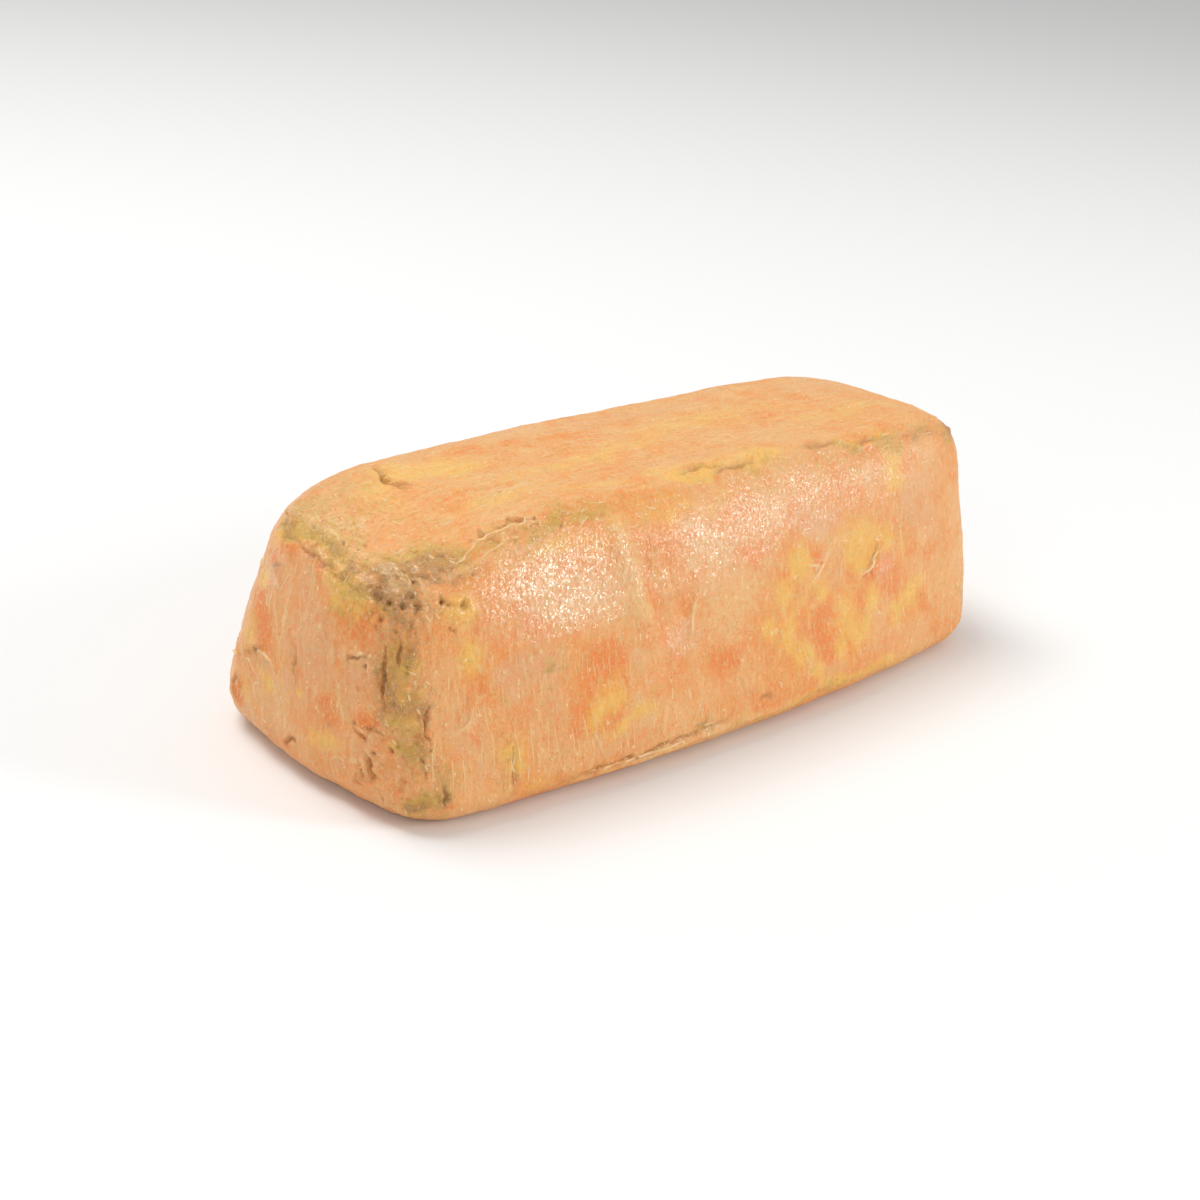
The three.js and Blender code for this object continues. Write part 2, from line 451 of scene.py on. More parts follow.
for number, low, high in (
    (70, (-77, -26, 34), (-60, -14, 47)),
    (50, (-79, -31, 2), (-71, -20, 34)),
    (24, (-60, -23, 45), (-38, -18, 50)),
    (50, (-78, -14, 40), (-66, 14, 48)),
    (60, (-80, -20, 3), (-76, 22, 38)),
    (16, (64, -24, 42), (76, -12, 49)),
):
    inside = np.nonzero(((PLACE > low) & (PLACE < high)).all(1))[0]
    for _ in range(number):
        spot = PLACE[chance.choice(inside.tolist())]
        size = chance.uniform(*CRUMB_SIZES)
        if chance.random() < PIT_SHARE:
            pit(spot, size, 0.7 * size, 0.7)
        else:
            lump(spot, (1.4 * size, 1.4 * size, 1.4 * size), 0.8 * size)

# ------------------------------------------------------------------ the left end
# A broad, smooth, pinkish fold runs down it, with an orange hollow beside it. Towards the back the
# fat is stringy, and low down by the front corner it is torn.
fold = ease(PLACE[:, 1], -11, -5) * (1 - ease(PLACE[:, 1], 2, 7)) * LEFT
relief += 0.45 * fold * ease(PLACE[:, 2], 40, 30)
patches("rose", (
    ((-78, -4, 29), (6, 6, 9), 0.9), ((-78, -1, 18), (6, 5, 6), 0.6), ((-78, -15, 24), (5, 5, 4), 0.5),
    ((-78, 4, 9), (5, 6, 4), 0.5), ((-78, -14, 10), (5, 6, 4), 0.4), ((-77, 0, 37), (5, 4, 4), 0.4),
))
patches("blush", (
    ((-77, -12.5, 36), (5, 6, 5), 1.0),
    ((-77, -14.5, 33), (5, 4, 3), 0.7),
    ((-76, -17, 37), (4, 2, 3), 0.6),
    ((-78, -17.5, 18.5), (5, 3.6, 3), 0.75),
    ((-78, -9.5, 17.5), (5, 3.5, 3.4), 0.55),
    ((-77, 7, 39), (5, 4, 2.4), 0.6),
    ((-77, 9.5, 36), (5, 2.4, 2), 0.8),
    ((-77, 13, 27), (5, 4.5, 5), 0.85),
    ((-78, 10, 22), (5, 4, 3), 0.5),
    ((-77, 19, 9), (5, 3, 3.4), 0.8),
    ((-78, 14, 15), (5, 3, 3), 0.55),
    ((-79, 0, 21), (4, 1.2, 4), 0.5),
))
patches("fat", (
    ((-77, -9.5, 38.4), (4, 3, 1.8), 0.95),
    ((-77, -13, 36.6), (4, 2.4, 1.8), 0.7),
    ((-77, 12, 32), (4, 3, 2.2), 0.9),
    ((-77, 11, 41), (4, 2, 2), 0.5),
    ((-78, 9, 15.5), (4, 2.8, 2.6), 0.9),
    ((-79, -8, 11), (4, 4.5, 2.6), 0.75),
    ((-79, -1.2, 17.3), (3, 1.3, 1.3), 0.8),
    ((-78, 17, 21), (4, 2.5, 4), 0.6),
    ((-78, 15, 10), (4, 2, 3), 0.5),
    ((-78, 2, 12), (4, 3, 2), 0.4),
))
END_STRINGS = (
    [(-77, 4, 38), (-78, 3.4, 33), (-79, 4.6, 28), (-79, 2.4, 23)],
    [(-77, 9, 36), (-78, 8, 30), (-79, 6, 25), (-79, 4, 19)],
    [(-77, 19, 20.5), (-78, 13, 20), (-79, 8, 19), (-79, 5, 16), (-79, 6, 12.5)],
    [(-77, 21, 17), (-78, 16, 16.6), (-79, 12, 15), (-79, 10.6, 11.5)],
    [(-78, -9, 26), (-78, -11, 21), (-78, -12.5, 16), (-78, -13, 12)],
)
for points in END_STRINGS:
    fibre(points, 0.8, 0.32, 0.35)
for points, width, depth in (
    ([(-78, -12, 26.7), (-77.5, -15, 28.6), (-77, -18.3, 29.2)], 0.5, 0.2),
    ([(-76, -20.2, 31.4), (-76, -20.4, 28), (-76.5, -20.4, 25), (-77, -21, 21)], 0.5, 0.5),
    ([(-78, -18.7, 11.6), (-77.7, -19.4, 10), (-77.3, -20.4, 8.2)], 1.0, 1.4),
    ([(-78, -14.6, 15.4), (-78, -16.5, 14.9), (-77.8, -18.2, 14)], 0.6, 0.6),
    ([(-78, -16.5, 9.6), (-77.8, -17.5, 8.4), (-77.6, -18.6, 7.6)], 0.6, 0.6),
    ([(-79, -0.8, 7.6), (-79, 0.8, 7), (-79, 2.6, 5.8)], 0.8, 0.8),
    ([(-79, 0, 25), (-79, 0.2, 21), (-79, 0, 16.5)], 0.5, 0.25),
    ([(-78, -17, 17), (-77.5, -19, 16.4), (-76.5, -21, 17)], 0.6, 0.4),
    ([(-78, 11, 21), (-78, 15, 18), (-77.6, 18, 17.6)], 0.6, 0.3),
    ([(-77, 8, 37.5), (-77, 9.6, 36), (-77.4, 11.4, 35.8)], 0.7, 0.3),
    ([(-77.4, 17.6, 10.6), (-77.4, 20, 11), (-77, 21.4, 8.4), (-77.4, 19.6, 6.4)], 0.7, 0.4),
):
    crease(points, width, depth, 0.6, 0.45)
ledge([(-76.5, -20, 30), (-77.5, -15.3, 28.6), (-78, -12.4, 26.9)], 1.0, 0.6, 3.5)
ledge([(-77, -20.5, 20), (-78, -16, 20.6), (-78.5, -13, 19)], 1.0, 0.4, 3.0)
for centre, radius, depth in (
    ((-78, -17, 6.4), 0.9, 0.8), ((-78, -15.5, 7.8), 0.8, 0.8), ((-77, -23.5, 14.5), 0.9, 0.9),
    ((-76, -25, 15.5), 0.8, 0.7), ((-79, 1.6, 9), 0.7, 0.6), ((-78, -15, 17), 0.6, 0.5),
    ((-78, -20, 13), 0.7, 0.7),
):
    pit(centre, radius, depth)

# ------------------------------------------------------------------ the upright front corner
# The fat at this corner has met the air and oxidised. It runs down to the foot as a dull yellow
# and brown band, cracked and pitted, with pale lumps of sound fat set in it.
patches("olive", (
    ((-74.5, -22.5, 31), (3, 2.5, 5), 0.6),
    ((-74.5, -24, 24), (3, 2.2, 6), 0.55),
    ((-75, -25.5, 15), (3, 2.5, 5), 0.7),
    ((-74, -28.5, 5), (5, 4, 4), 0.9),
    ((-76.5, -22, 20), (2.5, 2, 6), 0.4),
    ((-71, -30, 10), (2, 3, 5), 0.4),
))
patches("soot", (
    ((-76, -21.5, 25), (2, 2.2, 9), 0.55),
    ((-74, -25, 22), (3, 3, 12), 0.35),
    ((-72, -29, 8), (3.4, 3, 7), 0.35),
    ((-75, -27.5, 3.6), (3, 2.5, 2), 0.8),
    ((-70.4, -31, 5), (1.5, 2, 3), 0.6),
    ((-73, -26, 21), (1.4, 1.4, 4), 0.5),
    ((-76, -24, 11), (1.6, 1.6, 2), 0.6),
    ((-74, -27, 13), (1.4, 1.4, 2), 0.5),
))
for centre, radii, height in (
    ((-74.6, -25, 18.6), (1.9, 1.9, 2.0), 0.9),
    ((-74.6, -24, 25), (1.6, 2, 2.6), 0.4),
    ((-75, -24, 12), (1.6, 1.8, 1.6), 0.45),
    ((-73, -27.6, 9), (1.6, 1.8, 1.8), 0.4),
    ((-73.6, -24, 30), (1.6, 1.6, 2), 0.4),
):
    lump(centre, radii, height)
    patch("fat", centre, [1.3 * r for r in radii], 0.9)
for points in (
    [(-70.5, -31, 9), (-70.2, -31.2, 6.5), (-70.4, -31, 4.4)],
    [(-72.4, -27.6, 22), (-72.6, -27.8, 19), (-72.2, -28, 16)],
    [(-75.6, -22.4, 35), (-75.2, -22.6, 32), (-75.5, -22.4, 29)],
):
    crease(points, 0.6, 0.5, 0.6, 0.3)
for centre in (
    (-75.3, -25.5, 14.5), (-73.4, -27.6, 13.4), (-74.5, -24, 28), (-72.5, -26.5, 17), (-75.8, -22.6, 22),
    (-74.2, -26.6, 6.5), (-73.4, -28.4, 11), (-72.4, -26.4, 27), (-71.8, -28.6, 20.6),
):
    pit(centre, 0.6, 0.5, 0.7)

# ------------------------------------------------------------------ the front
# Smooth flesh with soft orange clots and yellow nodules of fat, a pale tendon, branching threads,
# and a fan of fine pleats along the foot. Its upper left is beaded with fat that catches the light.
TENDON = [(-30, -24, 45), (-29, -27, 40), (-27, -29, 34), (-25, -30, 28), (-23, -31, 23), (-22, -32, 20)]
near, distance, share, _ = along(TENDON, 9)
tendon = np.exp(-((distance / 2.4) ** 2)) * (1 - ease(share, 0.75, 1))
relief[near] += 0.75 * tendon + 0.1 * tendon * np.sin(7 * PLACE[near, 2])
deepen("fat", near, 0.25 * tendon)
deepen("cream", near, 0.6 * tendon)
crease([(-24, -26, 42), (-24, -29, 33), (-22, -30, 27), (-20.5, -31, 22)], 3.4, 0.35, 0.9, 0.0, "blush")
patches("blush", (
    ((-37, -31, 20), (5.5, 5, 7), 1.0),
    ((-33, -31, 24.5), (4, 5, 3.5), 0.8),
    ((-41, -33, 14.5), (3, 5, 2.4), 0.6),
    ((-24, -31, 27), (2.6, 5, 6), 0.6),
    ((-7, -33, 16.5), (6, 5, 3), 0.8),
    ((-19, -31, 19), (4, 5, 3), 0.5),
    ((3, -31, 35), (6, 5, 3.4), 0.6),
    ((12, -33, 15), (5, 5, 3.5), 0.7),
    ((21, -33, 15.5), (4.5, 5, 5), 1.0),
    ((23, -32, 20.5), (3, 5, 3), 0.8),
    ((29, -32, 15), (6, 5, 5), 0.8),
    ((19, -30, 29), (3.4, 5, 2.4), 0.9),
    ((35, -30, 27), (6, 5, 6), 0.7),
    ((37, -29.5, 26), (1.8, 5, 3.6), 0.9),
    ((11, -30, 29), (5, 5, 3), 0.6),
    ((44, -31, 17), (5, 5, 4), 0.6),
    ((53, -31, 13), (5, 5, 3), 0.5),
    ((55, -29, 24.5), (8, 5, 2), 0.6),
    ((-52, -29, 33), (8, 5, 4), 0.35),
    ((-18, -27, 40), (7, 5, 3), 0.4),
    ((-63, -29, 25), (3, 4, 4), 0.4),
    ((-47, -32, 13), (6, 5, 2.4), 0.4),
    ((8, -34, 8), (12, 5, 3), 0.4),
    ((35, -33, 8), (10, 5, 2.4), 0.4),
    ((28, -26, 42), (8, 5, 3), 0.4),
    ((62, -27, 34), (4, 5, 5), 0.3),
    ((27, -31, 15), (9, 5, 7), 0.8),
    ((12, -32, 20), (8, 5, 4), 0.5),
    ((40, -30, 24), (9, 5, 5), 0.5),
    ((-37, -32, 16), (6, 5, 5), 0.7),
))
NODULES = (
    ((-34.6, -32, 17), 2.4), ((-38.5, -33, 14.6), 1.9), ((-57, -32, 11), 2.6), ((-63, -28, 29), 2.2),
    ((-64, -25, 37), 2.4), ((10.4, -32, 18), 2.4), ((14, -33, 13), 2.2), ((14.7, -30, 30.6), 2.6),
    ((9.5, -31, 26.5), 2.0), ((27.6, -32, 18), 3.0), ((30.6, -33, 13), 2.6), ((34.4, -33, 14.5), 1.9),
    ((25.6, -33, 12), 1.7), ((31, -29, 31), 2.6), ((36, -29, 31), 2.8), ((33.4, -30, 26.6), 2.3),
    ((42, -29, 30), 2.3), ((37, -31, 19), 1.9), ((44.6, -32, 14.4), 2.3), ((50.4, -31, 15.6), 2.6),
    ((53, -31, 19), 1.6), ((46, -27, 42), 2.6), ((21, -31, 24), 1.7), ((5, -33, 20), 1.6),
    ((18.6, -33, 9), 1.6),
)
NODULE_DEPTH = 6  # mm, how far a nodule reaches into the block
NODULE_HEIGHT = 0.16  # mm
NODULE_WANDER = wander(5.0, 1.5, 61)
for centre, radius in NODULES:
    off = (NODULE_WANDER - np.array(centre, float)) / (1.35 * radius, NODULE_DEPTH, 1.35 * radius)
    deepen("fat", EVERYWHERE, 0.9 * np.exp(-(off**2).sum(1)))
    lump(centre, (radius, NODULE_DEPTH, radius), NODULE_HEIGHT)
patches("fat", (
    ((-31, -33, 12), (8, 4, 1.6), 0.75),
    ((-15, -24, 46), (14, 4, 2.2), 0.55),
    ((-40, -24, 44), (10, 4, 2.0), 0.45),
    ((48, -28, 27), (3, 4, 6), 0.35),
    ((12, -33, 22), (8, 4, 3), 0.35),
    ((60, -29, 17), (4, 4, 3), 0.35),
    ((16, -30, 29), (3, 4, 4), 0.6),
    ((30, -35, 5), (30, 4, 1.6), 0.7),
    ((-50, -34, 4), (16, 4, 1.6), 0.35),
))
patches("rose", (
    ((-52, -29, 25), (8, 5, 6), 0.9), ((-49, -32, 17), (7, 5, 4), 0.6), ((-15, -32, 24), (5, 5, 4), 0.6),
    ((20, -28, 38), (8, 5, 4), 0.8), ((52, -27, 35), (8, 5, 6), 0.8), ((-66, -29, 17), (4, 5, 6), 0.7),
    ((-28, -31, 21), (3, 5, 4), 0.5), ((60, -28, 28), (6, 5, 6), 0.5), ((-60, -33, 8), (8, 5, 3), 0.5),
    ((-30, -34, 8), (12, 5, 3), 0.5),
))
patches("cream", (((-3, -31, 26), (8, 5, 5), 0.35), ((-13, -32, 12), (8, 5, 4), 0.25)))
patch("olive", (-77, -11, 36), (4, 6, 4), 0.5)
patch("olive", (-46.7, -30, 24.4), (1.6, 3, 2.0), 0.55)
patch("soot", (-47, -30, 24), (0.8, 3, 1.0), 0.5)
patch("olive", (20, -35, 4), (40, 4, 1.6), 0.45)
patches("soot", (
    ((72, -18, 46), (5, 3.4, 3), 1.0), ((60, -21, 47), (8, 1.6, 2), 0.55), ((72, -26, 24), (2.4, 3, 5), 0.5),
    ((70, -28, 9), (3, 3, 3), 0.6), ((40, -22.6, 48.4), (8, 1.4, 2), 0.5),
))
VEIN = [(27, -30, 33), (23.6, -30, 31), (21.4, -31, 28.6), (18.6, -31, 26.6), (15.6, -32, 25.2)]
VEIN_BRANCH = [(17, -31, 30.4), (19.2, -31, 29.4), (21.4, -31, 28.8)]
CORNER_STRAND = [(-69, -28, 16.4), (-64.6, -29, 19), (-62.4, -28.5, 22.9)]
RIGHT_STRAND = [(47.6, -28, 37), (47.2, -29, 32), (47.8, -30, 26)]
for points, width, height in (
    (VEIN, 0.9, 0.35),
    (VEIN_BRANCH, 0.7, 0.3),
    ([(-12.2, -30, 31), (-14.6, -30.5, 27), (-14.4, -31, 23.6)], 0.6, 0.4),
    (CORNER_STRAND, 0.7, 0.4),
    (RIGHT_STRAND, 0.5, 0.25),
):
    fibre(points, width, height, 0.55)
# A torn flap, with the slit under its lower edge tinted dark orange as a painted shadow of the flap, and
# small cracks about the foot.
ledge([(38.8, -28.5, 31), (38.3, -30, 27), (35.6, -30.5, 24.2)], 0.9, 0.8, 4.5)
crease([(39, -28.5, 31), (38.8, -30, 27), (36, -30.8, 23.8), (32.4, -31, 24.4)], 0.9, 0.5, 0.8, 0.0, "blush")
ledge([(34.6, -31, 24), (31.4, -29, 28), (30, -28, 32.6)], 1.0, 0.35, 4.0)
crease([(-56, -31, 13.4), (-57.3, -32, 9.5), (-56.7, -33, 5), (-57.2, -33, 3.5)], 0.9, 0.6, 0.35, 0.4)
for points in ([(2, -35, 7.8), (5.4, -35, 8)], [(-15.6, -35, 7), (-12.4, -35, 7.2)]):
    crease(points, 0.8, 0.6, 0.5, 0.2)

# The lip where the foot was pressed against the mould's floor: a slit over a rolled, creamy edge.
SLIT = [(-46, -32, 3.4), (-33, -34, 4.2), (-22, -35, 4.8), (-12, -36, 5.6), (-6, -36, 6.2)]
LIP = [(-48, -32, 2.2), (-33, -34, 3.0), (-20, -35, 3.6), (-8, -36, 4.4), (0, -36, 4.4), (16, -35, 3.8)]
crease(SLIT, 0.9, 0.9, 0.7, 0.0)
fibre(LIP, 0.9, 0.35, 0.7)

# ------------------------------------------------------------------ the right end and the back
# They took the mould's walls as the front did, with the same marbling, threads and cracks, and
# old fat has stained the right end's corners brown.
patches("olive", (
    ((69, -22, 45), (3, 4, 3), 0.85), ((72, -22, 30), (3, 4, 8), 0.25), ((70, -28, 10), (4, 4, 6), 0.55),
    ((74, 10, 40), (4, 8, 4), 0.5), ((60, 24, 30), (5, 4, 8), 0.4), ((-60, 24, 20), (6, 5, 9), 0.4),
    ((70, 20, 8), (6, 6, 5), 0.5), ((-70, 22, 6), (6, 6, 4), 0.5), ((20, 26, 42), (16, 4, 4), 0.35),
))
patch("soot", (70, -21, 45), (2, 3, 2), 0.6)
patch("soot", (74, -27, 9), (2.5, 3, 4), 0.4)
HIDDEN_SIDES = np.clip(BACK + RIGHT, 0, 1)
hidden_noise = grain(WIDE_WANDER, 13, 8)
deepen("blush", EVERYWHERE, 0.6 * HIDDEN_SIDES * ease(hidden_noise, 0, 0.5))
deepen("fat", EVERYWHERE, 0.65 * HIDDEN_SIDES * ease(grain(WIDE_WANDER, 9, 9), 0.1, 0.5))
deepen("rose", EVERYWHERE, 0.5 * HIDDEN_SIDES * ease(-hidden_noise, 0.05, 0.4))
hidden = np.nonzero(HIDDEN_SIDES * (PLACE[:, 2] > 4) > 0.8)[0]
BACK_CRACKS = 14
chance = random.Random(5)
for _ in range(BACK_CRACKS):
    start = PLACE[hidden[chance.randrange(len(hidden))]]
    end = start + np.array([0, 0, -chance.uniform(2, 6)]) + chance.uniform(-1, 1)
    crease([start, end], chance.uniform(0.5, 0.8), chance.uniform(0.4, 0.9), 0.6, 0.25)

# Beads of fat that catch the light: wettest on the upper front, thinner round the shoulders. This map sets
# the wet coat, and where it is high, pale glints are painted into the colour too.
beads = ease(PLACE[:, 2], 28, 31) * spread((-43, -27, 37), (17, 9, 9), FINE_WANDER)
beads += 0.55 * spread((-8, -26, 37), (18, 8, 8)) + 0.42 * spread((22, -26, 41), (34, 8, 8))
beads += 0.4 * spread((-68, 3, 47), (7, 13, 5)) + 0.15 * SHOULDER + 0.5 * spread((-18, -31, 23), (5, 6, 3))
beads += 0.7 * spread((40, -29, 23), (4, 6, 4)) + 0.5 * LEFT * spread((-77, 10, 34), (5, 6, 6))
tint["beads"] = np.clip(beads + 0.25 * HIDDEN_SIDES * ease(grain(WIDE_WANDER, 14, 12), 0, 0.4), 0, 1)
tint["beads"] *= 1 - 0.85 * TOP
tint["lying"] = np.clip(TOP + 0.5 * SHOULDER * FRONT, 0, 1)

# The top is paler than the sides, and it and the left end are pinker.
deepen("fat", EVERYWHERE, 0.16 * TOP)
deepen("cream", EVERYWHERE, 0.28 * TOP)
deepen("rose", EVERYWHERE, 0.30 * TOP)
deepen("rose", EVERYWHERE, 0.35 * LEFT)

# The relief is laid on the skin, the base stays flat, and nothing leaves the solid's own box.
DEEPEST, HIGHEST = -1.8, 1.3  # mm, from the skin as moulded
settled = ease(PLACE[:, 2], FLAT_BELOW, RELIEF_FROM)
shaped = PLACE + NORMAL * ((np.clip(relief, DEEPEST, HIGHEST) - ROOM_FOR_RELIEF) * settled)[:, None]
shaped[PLACE[:, 2] < FLAT_BELOW, 2] = 0
shaped = np.clip(shaped, np.array(CAD_BOX[0]) / MM, np.array(CAD_BOX[1]) / MM)
skin.vertices.foreach_set("co", (shaped * MM).ravel())
skin.update()
skin.shade_smooth()
for name in TINTS:
    layer = skin.attributes.new(name, "FLOAT", "POINT")
    layer.data.foreach_set("value", tint[name].astype(np.float32))

block = put("foie_gras_block_surface", skin)

# ------------------------------------------------------------------ the flesh as a material
# Cooked liver lets light in a little way, so it glows at its edges. The tints laid above choose the colour,
# finer marbling and fibres break them up, and the beads of fat give the wet sparkle, both through the coat
# and through pale glints painted into the colour.
def blank(name):
    """A material with no nodes yet."""
    made = bpy.data.materials.new(name)
    made.use_nodes = True
    made.node_tree.nodes.clear()
    return made


def join(value, socket):
    """Links a node's output to a socket, or sets a number or colour on it."""
    if isinstance(value, bpy.types.NodeSocket):
        tree.links.new(value, socket)
    else:
        socket.default_value = value


def add(kind, settings=None, **inputs):
    """Adds a node; each input is a number, a colour or another node's output."""
    made = tree.nodes.new(kind)
    for name, value in (settings or {}).items():
        setattr(made, name, value)
    for name, value in inputs.items():
        join(value, made.inputs[name.replace("_", " ")])
    return made


def marbling(lump, detail=3.0, roughness=0.55, stretch=(1, 1, 1), distortion=0.0):
    """Noise on the block's own coordinates, with lumps of that many mm."""
    place = add("ShaderNodeTexCoord").outputs["Object"]
    placed = add("ShaderNodeMapping", Vector=place, Scale=stretch).outputs["Vector"]
    made = add(
        "ShaderNodeTexNoise",
        Vector=placed,
        Scale=1 / (lump * MM),
        Detail=detail,
        Roughness=roughness,
        Distortion=distortion,
    )
    return made.outputs["Fac"]


def span(value, low, high, out_low=0.0, out_high=1.0):
    """Eases a value from one range into another; low may be the larger."""
    made = add("ShaderNodeMapRange", {"interpolation_type": "SMOOTHSTEP"}, Value=value)
    if low > high:
        low, high, out_low, out_high = high, low, out_high, out_low
    for name, number in zip(("From Min", "From Max", "To Min", "To Max"), (low, high, out_low, out_high)):
        made.inputs[name].default_value = number
    return made.outputs["Result"]


def work(operation, first, second, third=0.0):
    made = add("ShaderNodeMath", {"operation": operation})
    for socket, value in zip(made.inputs, (first, second, third)):
        join(value, socket)
    return made.outputs["Value"]


def stain(base, colour, amount, strength=1.0):
    """The base colour, covered by another where the amount is 1."""
    if strength != 1.0:
        amount = work("MULTIPLY", amount, strength)
    made = add("ShaderNodeMix", {"data_type": "RGBA", "clamp_factor": True})
    for socket, value in ((made.inputs[0], amount), (made.inputs[6], base), (made.inputs[7], colour)):
        join(value, socket)
    return made.outputs[2]


def laid(name):
    return add("ShaderNodeAttribute", {"attribute_name": name}).outputs["Fac"]


def broken(name, by, raggedness=1.2):
    """A tint with a soft, ragged edge and uneven strength, and a little of it everywhere."""
    return span(work("MULTIPLY_ADD", work("SUBTRACT", by, 0.5), raggedness, laid(name)), 0.0, 0.95)


def bumped(height, depth, strength=1.0, **under):
    """The skin's direction with a pattern pressed in it, that many mm deep, over an earlier one."""
    made = add("ShaderNodeBump", Strength=strength, Distance=depth * MM, Height=height, **under)
    return made.outputs["Normal"]


def glow(surface, depth):
    """Lets light in as fat and liver do, to a depth in mm, and ends the material."""
    surface.inputs["IOR"].default_value = FAT_IOR
    surface.inputs["Subsurface Weight"].default_value = GLOW
    surface.inputs["Subsurface Radius"].default_value = GLOW_BY_COLOUR
    surface.inputs["Subsurface Scale"].default_value = depth * MM
    add("ShaderNodeOutputMaterial", Surface=surface.outputs["BSDF"])


PEACH = (0.845, 0.425, 0.155, 1)
APRICOT = (0.850, 0.330, 0.080, 1)
ROSE = (0.800, 0.400, 0.185, 1)
ORANGE = (0.850, 0.245, 0.042, 1)
YELLOW = (0.900, 0.525, 0.095, 1)
OLIVE = (0.620, 0.380, 0.060, 1)
RUST_BROWN = (0.460, 0.215, 0.065, 1)
CREAM = (0.940, 0.640, 0.300, 1)
# The deep brown of oxidised fat, and also the painted shade in cracks and pits.
DARK = (0.230, 0.075, 0.012, 1)
PALE_FAT_AND_GLINT = (0.980, 0.780, 0.480, 1)
FAT_IOR = 1.46
GLOW = 0.25  # share of the light that goes in and comes out again
GLOW_BY_COLOUR = (1.0, 0.4, 0.2)  # red goes deepest

flesh = blank("marbled_liver")
tree = flesh.node_tree

clouds, clots, lumps = marbling(13, 2), marbling(5.5, 3, 0.5, distortion=0.5), marbling(3.6, 2, 0.5)
flecks, specks, pores = marbling(2.0, 3, 0.6), marbling(0.9, 3, 0.6), marbling(0.42, 2, 0.6)
upright, lying = marbling(0.85, 3, 0.62, (1, 1, 0.2)), marbling(1.0, 3, 0.62, (0.14, 1, 1))
comb = add("ShaderNodeMix")
for number, value in ((0, laid("lying")), (2, upright), (3, lying)):
    join(value, comb.inputs[number])
strands = comb.outputs[0]

colour = stain(PEACH, APRICOT, span(clouds, 0.36, 0.62))
colour = stain(colour, ROSE, broken("rose", lumps), 0.80)
colour = stain(colour, ORANGE, broken("blush", clots, 1.5))
colour = stain(colour, ORANGE, span(clots, 0.56, 0.74), 0.45)
colour = stain(colour, YELLOW, broken("fat", lumps, 0.9), 0.85)
colour = stain(colour, CREAM, span(strands, 0.52, 0.68), 0.34)
colour = stain(colour, ORANGE, span(strands, 0.46, 0.32), 0.28)
colour = stain(colour, OLIVE, broken("olive", flecks, 1.9), 0.90)
colour = stain(colour, RUST_BROWN, broken("soot", specks, 1.9), 0.95)
colour = stain(colour, RUST_BROWN, work("MULTIPLY", laid("olive"), span(specks, 0.48, 0.36)), 0.60)
colour = stain(colour, DARK, work("MULTIPLY", laid("soot"), span(flecks, 0.46, 0.34)), 0.60)
colour = stain(colour, CREAM, work("MULTIPLY", laid("cream"), span(specks, 0.30, 0.56, 0.4, 1.0)), 0.60)
colour = stain(colour, CREAM, span(specks, 0.54, 0.66), 0.26)
colour = stain(colour, ORANGE, span(specks, 0.47, 0.34), 0.30)
colour = stain(colour, CREAM, span(pores, 0.55, 0.68), 0.24)
wet = laid("beads")
bead = marbling(0.62, 1.0, 0.5, (1, 1, 0.45))
# Pale beads of fat, painted near white so that they also stand in for glints: thick where the fat is wet,
# and a sparser scatter of them everywhere.
colour = stain(colour, PALE_FAT_AND_GLINT, work("MULTIPLY", wet, span(bead, 0.56, 0.68)), 0.60)
colour = stain(colour, PALE_FAT_AND_GLINT, span(marbling(0.75, 1.5, 0.5, (1, 1, 0.6)), 0.66, 0.74), 0.50)
# Painted shade: the floors of cracks and pits are darkened.
colour = stain(colour, DARK, laid("shade"), 0.70)

bead_shape = work("MULTIPLY", bead, span(wet, 0.0, 0.25))
droplets = span(marbling(1.1, 2, 0.6), 0.60, 0.72)
drops = bumped(bead_shape, 0.36)
dotted = bumped(droplets, 0.16, Normal=drops)
film = bumped(specks, 0.14, Normal=dotted)
combed = bumped(strands, 0.36, 0.8)
grained = bumped(specks, 0.50, 0.9, Normal=combed)
pored = bumped(pores, 0.26, 0.9, Normal=grained)
dry_gloss = work("MULTIPLY_ADD", laid("lying"), -0.08, 0.10)
surface = add(
    "ShaderNodeBsdfPrincipled",
    Base_Color=colour,
    Roughness=span(flecks, 0.3, 0.7, 0.58, 0.44),
    Normal=pored,
    Coat_Weight=work("MULTIPLY_ADD", wet, 0.9, dry_gloss),
    Coat_Normal=film,
)
surface.inputs["Coat Roughness"].default_value = 0.06
surface.inputs["Coat IOR"].default_value = 1.9
glow(surface, 1.2)
skin.materials.append(flesh)

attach(block, "root")
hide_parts("foie_gras_block")

# ------------------------------------------------------------------ threads of fat and tissue
# Fine pale threads that stuck to the skin when the block slid out of its mould: a fan of pleats
# along the foot, branching veins, curls on the shoulders and loose ends that stand off the edges.
THREAD_SIDES_EXTRA = 1  # gives a round of six
THREAD_SUNK = 0.7  # share of its radius that a thread's middle lies under the skin
THREAD_TIP = 0.12  # share of its radius that is left at its ends
THREAD_STEP = 0.9  # mm between the points of a listed thread
STRAY_STEP = 0.8  # mm between the points of a strewn one
THREAD_SHAKE = 0.25  # mm, how far a listed thread wavers
THREAD_SEED = 7  # sets the waver; without a seed it would follow the clock and differ each run
noise.seed_set(THREAD_SEED)
skin_tree = BVHTree.FromPolygons((shaped * MM).tolist(), [list(face.vertices) for face in skin.polygons])
thread_curve = bpy.data.curves.new("threads", "CURVE")
thread_curve.dimensions = "3D"
thread_curve.bevel_depth = MM
thread_curve.bevel_resolution = THREAD_SIDES_EXTRA
thread_curve.use_fill_caps = True


def on_skin(place):
    """The nearest place on the skin, in mm, and the skin's direction there."""
    found, normal, _, _ = skin_tree.find_nearest(Vector(place) * MM)
    return found / MM, normal


